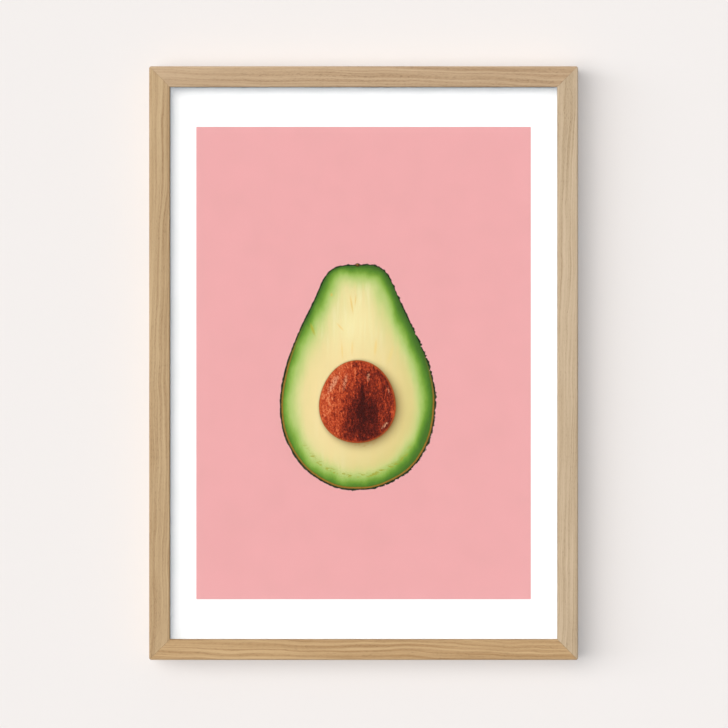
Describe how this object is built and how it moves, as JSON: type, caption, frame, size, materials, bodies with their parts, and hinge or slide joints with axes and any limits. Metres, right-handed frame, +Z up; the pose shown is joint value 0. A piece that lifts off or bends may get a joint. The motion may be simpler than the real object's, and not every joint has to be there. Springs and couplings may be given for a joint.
{
  "type": "framed picture",
  "caption": "Framed A3 art print behind glass: slim mitred oak frame, pink print of a cut green fruit with a white margin, and D-ring hangers on the back.",
  "frame": {"origin": "the hanging point on the wall: y = 0 is the wall, z = 0 is the height of the two wall hooks, x = 0 is the middle of the frame", "axes": "+Z up along the frame's long sides, -Y out of the picture's front towards the room, +Y into the wall, +X to the right of someone who looks at the picture"},
  "size_m": [0.32, 0.0268, 0.443],
  "materials": {
    "oak": "pale oiled oak with a fine straight grain",
    "glass": "clear polished float glass",
    "printed_paper": "matt art paper with a pink panel, a cut green fruit and a white margin",
    "fibreboard": "smooth brown fibreboard",
    "zinc_steel": "zinc-plated steel",
    "nickel_plate": "bright nickel plate",
    "rubber": "matt black rubber"
  },
  "bodies": {
    "frame": {"rail_top": "oak", "rail_bottom": "oak", "rail_left": "oak", "rail_right": "oak", "glazing": "glass", "art_print": "printed_paper", "backing_board": "fibreboard", "v_nail_top_left": "zinc_steel", "v_nail_top_right": "zinc_steel", "v_nail_bottom_left": "zinc_steel", "v_nail_bottom_right": "zinc_steel", "tab_left_1": "zinc_steel", "tab_left_2": "zinc_steel", "tab_left_3": "zinc_steel", "tab_right_1": "zinc_steel", "tab_right_2": "zinc_steel", "tab_right_3": "zinc_steel", "tab_top_1": "zinc_steel", "tab_top_2": "zinc_steel", "tab_bottom_1": "zinc_steel", "tab_bottom_2": "zinc_steel", "hanger_strap_left": "nickel_plate", "hanger_screw_left": "zinc_steel", "wall_bumper_left": "rubber", "hanger_strap_right": "nickel_plate", "hanger_screw_right": "zinc_steel", "wall_bumper_right": "rubber"},
    "left_ring": {"d_ring_left": "nickel_plate"},
    "right_ring": {"d_ring_right": "nickel_plate"}
  },
  "joints": [
    {"name": "left_ring_swing", "type": "hinge", "parent": "frame", "child": "left_ring", "pos_m": [-0.15475, -0.0025, -0.0099], "axis": [1, 0, 0], "range_deg": [0, 174]},
    {"name": "right_ring_swing", "type": "hinge", "parent": "frame", "child": "right_ring", "pos_m": [0.15475, -0.0025, -0.0099], "axis": [1, 0, 0], "range_deg": [0, 174]}
  ]
}
